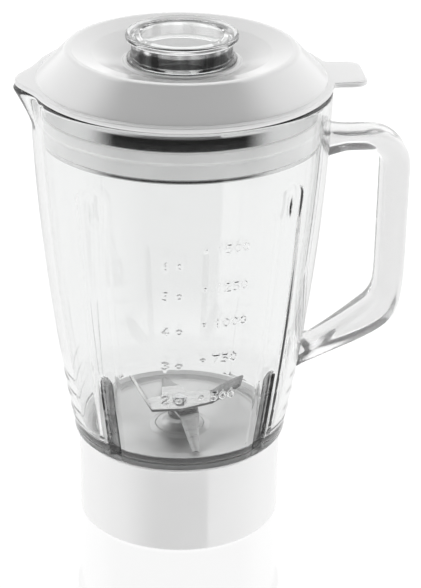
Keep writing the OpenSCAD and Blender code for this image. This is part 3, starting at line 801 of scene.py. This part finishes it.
def build_cap():
    top, low = cap_high[2], cap_low[2]
    rim_low, plate = top - 3.4, top - 4.4
    outline = rounded([
        (0, plate), (20.4, plate, 1.5), (22.9, plate - 2.4, 1.5), (22.6, low, 0.7), (24.6, low, 0.7),
        (24.9, 248.6, 0.3), (27.0, 248.6, 0.4), (27.0, 249.8, 0.5), (24.9, 250.6, 0.8),
        (24.6, rim_low - 0.3, 0.6), (27.6, rim_low, 1.3), (27.6, top, 1.3), (20.6, top, 0.5),
        (19.6, top - 0.6, 0.5), (0, top - 0.6),
    ], 7, closed=False)
    cap = lathe("cap_body", outline, CLEAR, 192, closed=False, sharp_degrees=50)
    cap.data.materials.append(NECK_PAINTED_DARK)
    # Painted reflection: the cap's neck band takes the dark streaked glass
    for face in cap.data.polygons:
        x, y, z = (c / MM for c in face.center)
        if 250.2 < z < rim_low - 0.2 and 24.0 < math.hypot(x, y) < 25.5:
            face.material_index = 1
    return dress(cap, "cap", "cap_clear", "measuring_cap")


# ---------- collar and blade unit ----------


def build_collar():
    inner = COLLAR_R - COLLAR_WALL
    outline = rounded([
        (inner, 0, 0.5), (COLLAR_R, 0, 0.8), (COLLAR_R, COLLAR_TOP, 0.9), (inner, COLLAR_TOP, 0.5),
        (inner, WEB_HIGH, 0.6), (WEB_BORE_R, WEB_HIGH, 0.5), (WEB_BORE_R, WEB_LOW, 0.5),
        (inner, WEB_LOW, 0.4),
    ])
    collar = lathe("collar_shell", outline, WHITE, 256)
    lugs = [thread_lug_mesh("collar_lug", WHITE, inner + 0.4, NECK_R + 0.5, COLLAR_LUG_Z, a)
            for a in LUG_TURNS]
    join_into(collar, lugs)
    return dress(collar, "base", "white_gloss", "base_collar")


def build_dish():
    rim, low, high = dish_high[0], dish_low[2], dish_high[2]
    outline = rounded([
        (8.6, low + 0.02, 0.2), (14.0, low + 0.02, 1.0), (rim - 0.4, low + 3.3, 0.5), (rim, low + 3.7, 0.4),
        (rim, high, 0.3), (rim - 1.1, high, 0.4), (rim - 2.4, high - 0.35, 0.8), (16.0, low + 1.3, 2.0),
        (13.4, low + 2.4, 0.8), (12.7, low + 2.4, 0.2), (12.6, low + 1.0, 0.2), (8.6, low + 1.0, 0.2),
    ])
    return dress(lathe("dish_spun", outline, DISH, 256), "blade_unit", "dish_steel", "floor_dish")


def blade_mesh(name, looks, stations, thick, folds, z, turn, ground):
    """A blade of sheet steel: stations pair a point on each long edge, and wings bend about fold lines.

    folds holds (way, root, skew, bend): the wing on the side way = 1 or -1 folds about a line through
    x = way * root. The looks are those of the flat part and of each wing in turn."""
    pairs = np.array(stations, float)
    steps = np.linspace(0, 1, 4, endpoint=False)
    rows = [a + (b - a) * s for a, b in zip(pairs, pairs[1:]) for s in steps] + [pairs[-1]]
    across = np.array([0.0, 0.02, 0.08, 0.2, 0.4, 0.6, 0.8, 0.92, 0.98, 1.0])
    points, parts = [], []
    for near, far in rows:
        top, bottom, part = [], [], 0
        width = np.linalg.norm(far - near)
        for t in across:
            x, y = near + (far - near) * t
            past, out, bend = 0.0, None, 0.0
            for number, (way, root, skew, fold_bend) in enumerate(folds):
                cs, sn = math.cos(math.radians(skew)), math.sin(math.radians(skew))
                this = (way * x - root) * cs + way * y * sn
                if this > 0:
                    past, out, bend = this, np.array([cs, sn, 0.0]) * way, math.radians(fold_bend)
                    part = number + 1 if past > 0.2 else part
            thin = (1 - smooth_step(min(t, 1 - t) * width, 0, ground)) * smooth_step(past, 0.0, 3.0)
            rim = 0.1 * (t in (0.0, 1.0))
            for side, height in ((top, thick * (1 - 0.7 * thin) - rim), (bottom, rim * (1 - thin))):
                place = np.array([x, y, height])
                if past > 0:
                    place = np.array([x, y, 0.0]) - out * past
                    place = place + (out * math.cos(bend) + np.array([0, 0, math.sin(bend)])) * past
                    place = place + (np.array([0, 0, math.cos(bend)]) - out * math.sin(bend)) * height
                side.append(place)
        points.append(np.array(top + bottom[::-1]))
        parts.append(part)
    count = len(points[0])
    c, s = math.cos(math.radians(turn)), math.sin(math.radians(turn))
    placed = np.concatenate(points) @ np.array([[c, s, 0], [-s, c, 0], [0, 0, 1]]) + np.array([0, 0, z])
    faces = grid_faces(len(points), count, close_rows=False).tolist()
    faces.append(list(range(count))[::-1])
    faces.append([(len(points) - 1) * count + i for i in range(count)])
    blade = add_mesh(name, placed, faces, looks[0], 26)
    for look in looks[1:]:
        blade.data.materials.append(look)
    for face in blade.data.polygons:
        face.material_index = max(parts[i // count] for i in face.vertices)
    return blade


def build_blades():
    right = [
        ((0, 9.4), (0, -9.4)), ((4, 9.45), (4, -8.0)), ((8, 9.5), (8, -6.4)), ((13, 9.55), (13, -4.4)),
        ((17, 9.6), (17, -2.8)), ((25.4, 10.4), (26, -2.5)), ((31.5, 8.9), (34.8, -2.0)),
        ((37.6, 6.6), (37.9, 5.8)),
    ]
    folded = {17: ((15.2, 9.6), (17.5, -2.8))}
    left = [folded.get(near[0], (near, far)) for near, far in right[:0:-1]]
    left = [((-far[0], -far[1]), (-near[0], -near[1])) for near, far in left]
    # The gentle wing takes the darker wing steel, as painted shade
    upper = blade_mesh(
        "upper_blade_ground", (BLADE, WING_STEEL_SHADED, BLADE), left + right, BLADE_THICK,
        [(1, 17.0, 0.0, GENTLE_BEND), (-1, 17.0, 10.6, STEEP_BEND)], upper_low[2], 0, 2.0)
    dress(upper, "rotor", "blade_steel", "upper_blade")
    # The lower blade's bent wings take the darker steel, as painted shade
    lower = blade_mesh(
        "lower_blade_ground", (BLADE, ROUGH_SHADED_BLADE, ROUGH_SHADED_BLADE), [
            ((-39.9, 1.6), (-39.9, -1.6)), ((-21.5, 5.6), (-21.5, -5.2)), ((-12, 7.4), (-10, -7.4)),
            ((0, 9.2), (-1, -7.0)), ((5, 8.8), (4.6, -3.8)), ((9.65, 8.2), (11.13, -2.3)),
            ((39.6, 1.7), (38.7, -1.5)),
        ], BLADE_THICK, [(1, 10.8, 8.0, LOWER_BEND), (-1, 21.5, 0.0, LOWER_BEND)],
        lower_high[2] - BLADE_THICK, LOWER_BLADE_TURN, 1.6)
    dress(lower, "rotor", "blade_steel", "lower_blade")


def build_housing():
    """The bearing housing: a flange that flares softly up into the nose."""
    low, top = housing_low[2], housing_high[2]
    flange = SEAT_Z
    outline = rounded([
        (6.5, low, 0.2), (8.5, low, 0.3), (8.5, flange, 0.1), (12.5, flange, 0.2),
        (12.5, flange + 0.5, 0.4),
        (9.2, flange + 1.2, 2.5), (7.4, top - 2.2, 2.5), (6.9, top - 0.5, 0.6), (6.3, top, 0.3),
        (4.6, top, 0.2), (4.6, top - 1.2, 0.1), (6.5, top - 1.2, 0.1),
    ])
    housing = lathe("housing_turned", outline, DISH, 128)
    return dress(housing, "blade_unit", "housing_steel", "bearing_housing")


def dress_cad_nodes():
    """Gives each CAD node that stays its material and softened edges."""
    looks = {
        "machine_ring": GREY, "ring_screws": SCREW, "blade_carrier": PALE, "jug_seal": SEAL,
        "dish_seal": PALE, "housing_nut": SCREW, "upper_bush": BRONZE, "lower_bush": BRONZE,
        "shaft_seal": BLACK, "drive_shaft": HUB, "drive_coupling": BLACK, "retaining_clip": SCREW,
        "thrust_washer": NYLON, "blade_spacer": HUB, "blade_nut": SCREW,
    }
    soft_edge = {"machine_ring": 0.5, "drive_coupling": 0.5, "housing_nut": 0.35, "blade_nut": 0.25}
    for node, look in looks.items():
        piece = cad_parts[node]
        piece.data.materials.clear()
        piece.data.materials.append(look)
        bevel = piece.modifiers.new("soft_edges", "BEVEL")
        bevel.width = soft_edge.get(node, 0.15) * MM
        bevel.segments = 2
        bevel.limit_method = "ANGLE"
        bevel.angle_limit = math.radians(38)


# ---------- studio ----------

# Where the camera stands, from the middle of the collar's bottom face, in metres
CAMERA_PLACE = (-0.0784, -0.8961, 0.5504)
CAMERA_HEADING, CAMERA_PITCH, CAMERA_ROLL = 5.987, 25.467, 0.808
CAMERA_LENS, CAMERA_SENSOR = 118.6, 36.0
FLOOR_GLOW, WALL_LIGHT, CARD_LIGHT, STRIP_LIGHT = 0.84, 1.75, 1.3, 1.18
# How bright the wall straight behind the object is, against the wall beside it
BACK_SHARE = 0.9


def build_camera():
    yaw, pitch, roll = (math.radians(a) for a in (CAMERA_HEADING, CAMERA_PITCH, CAMERA_ROLL))
    ahead = np.array([math.sin(yaw) * math.cos(pitch), math.cos(yaw) * math.cos(pitch), -math.sin(pitch)])
    right = np.array([math.cos(yaw), -math.sin(yaw), 0.0])
    up = np.cross(right, ahead)
    turned_right = math.cos(roll) * right + math.sin(roll) * up
    turned_up = -math.sin(roll) * right + math.cos(roll) * up
    data = bpy.data.cameras.new("camera")
    data.sensor_width = CAMERA_SENSOR
    data.lens = CAMERA_LENS
    data.clip_start, data.clip_end = 0.05, 30.0
    camera = bpy.data.objects.new("camera", data)
    bpy.context.scene.collection.objects.link(camera)
    axes = Matrix([turned_right, turned_up, -ahead]).transposed()
    camera.matrix_world = Matrix.Translation(CAMERA_PLACE) @ axes.to_4x4()
    bpy.context.scene.camera = camera


def build_floor():
    """A bright table top with a soft shine."""
    size = 6.0
    mesh = bpy.data.meshes.new("floor")
    corners = [(-size, -size, 0), (size, -size, 0), (size, size, 0), (-size, size, 0)]
    mesh.from_pydata(corners, [], [(0, 1, 2, 3)])
    look = new_look("floor_white", (0.05, 0.05, 0.05), 0.06, IOR=1.75,
                    Emission_Color=(1, 1, 1, 1), Emission_Strength=FLOOR_GLOW)
    mesh.materials.append(look)
    floor = bpy.data.objects.new("floor", mesh)
    bpy.context.scene.collection.objects.link(floor)
    floor.location.z = -0.0003
    floor.visible_glossy = False
    floor.visible_transmission = False


def build_light():
    """A bright wall behind and beside the object, a low card in front, and a dark ceiling."""
    world = bpy.data.worlds.new("studio")
    bpy.context.scene.world = world
    world.use_nodes = True
    tree = world.node_tree
    link = tree.links.new

    def calc(kind, a, b=0.0):
        node = tree.nodes.new("ShaderNodeMath")
        node.operation = kind
        for place, value in enumerate((a, b)):
            if isinstance(value, (int, float)):
                node.inputs[place].default_value = value
            else:
                link(value, node.inputs[place])
        return node.outputs[0]

    def step(source, low, high, start=0.0, end=1.0):
        node = tree.nodes.new("ShaderNodeMapRange")
        node.interpolation_type = "SMOOTHSTEP"
        for socket, value in zip(("From Min", "From Max", "To Min", "To Max"), (low, high, start, end)):
            node.inputs[socket].default_value = value
        link(source, node.inputs["Value"])
        return node.outputs["Result"]

    def along(direction):
        node = tree.nodes.new("ShaderNodeVectorMath")
        node.operation = "DOT_PRODUCT"
        node.inputs[1].default_value = direction
        link(sky.outputs["Generated"], node.inputs[0])
        return node.outputs["Value"]

    sky = tree.nodes.new("ShaderNodeTexCoord")
    yaw = math.radians(CAMERA_HEADING)
    to_camera = along((-math.sin(yaw), -math.cos(yaw), 0.0))
    to_right = along((math.cos(yaw), -math.sin(yaw), 0.0))
    degrees = 180 / math.pi
    turn = calc("MULTIPLY", calc("ARCTAN2", to_right, to_camera), degrees)
    climb = calc("MULTIPLY", calc("ARCSINE", along((0, 0, 1))), degrees)
    swing = calc("ABSOLUTE", turn)
    behind = step(swing, 72.0, 110.0)
    wall = calc("MULTIPLY", behind, step(climb, 58.0, 63.0, WALL_LIGHT, 0.0))
    wall = calc("MULTIPLY", wall, step(swing, 125.0, 160.0, 1.0, BACK_SHARE))
    card = calc("MULTIPLY", calc("SUBTRACT", 1.0, behind), step(climb, 12.0, 28.0, CARD_LIGHT, 0.0))
    upper = calc("ADD", wall, card)
    # Seen only as reflections below the horizon: a dark strip ahead between two bright ones
    high = step(climb, -27.0, -24.0)
    low = calc("SUBTRACT", 1.0, high)
    right = calc("ADD", calc("MULTIPLY", low, step(turn, 33.0, 35.0)),
                 calc("MULTIPLY", high, step(turn, 50.0, 82.0)))
    left = calc("ADD", calc("MULTIPLY", low, step(turn, -8.0, -72.0)),
                calc("MULTIPLY", high, step(turn, -50.0, -82.0)))
    steep = calc("MAXIMUM", step(climb, -34.0, -40.0), step(climb, -17.0, -12.0))
    open_part = calc("MAXIMUM", calc("MAXIMUM", right, left), steep)
    sides = calc("MULTIPLY", open_part, step(swing, 100.0, 135.0, STRIP_LIGHT, 1.0))
    below = step(climb, -2.0, 2.0, 1.0, 0.0)
    level = calc("ADD", calc("MULTIPLY", sides, below),
                 calc("MULTIPLY", upper, calc("SUBTRACT", 1.0, below)))
    level = calc("MAXIMUM", level, step(climb, -24.0, -28.0, 0.03, 0.25))
    shader = tree.nodes["Background"]
    link(level, shader.inputs["Strength"])
    shader.inputs["Color"].default_value = (1, 1, 1, 1)


def build_view():
    settings = bpy.context.scene.view_settings
    settings.view_transform = "Standard"


build_camera()
build_floor()
build_light()
build_view()
build_jug()
build_cover()
build_plug()
build_lid_seal()
build_cap()
build_collar()
build_dish()
build_housing()
build_blades()
dress_cad_nodes()
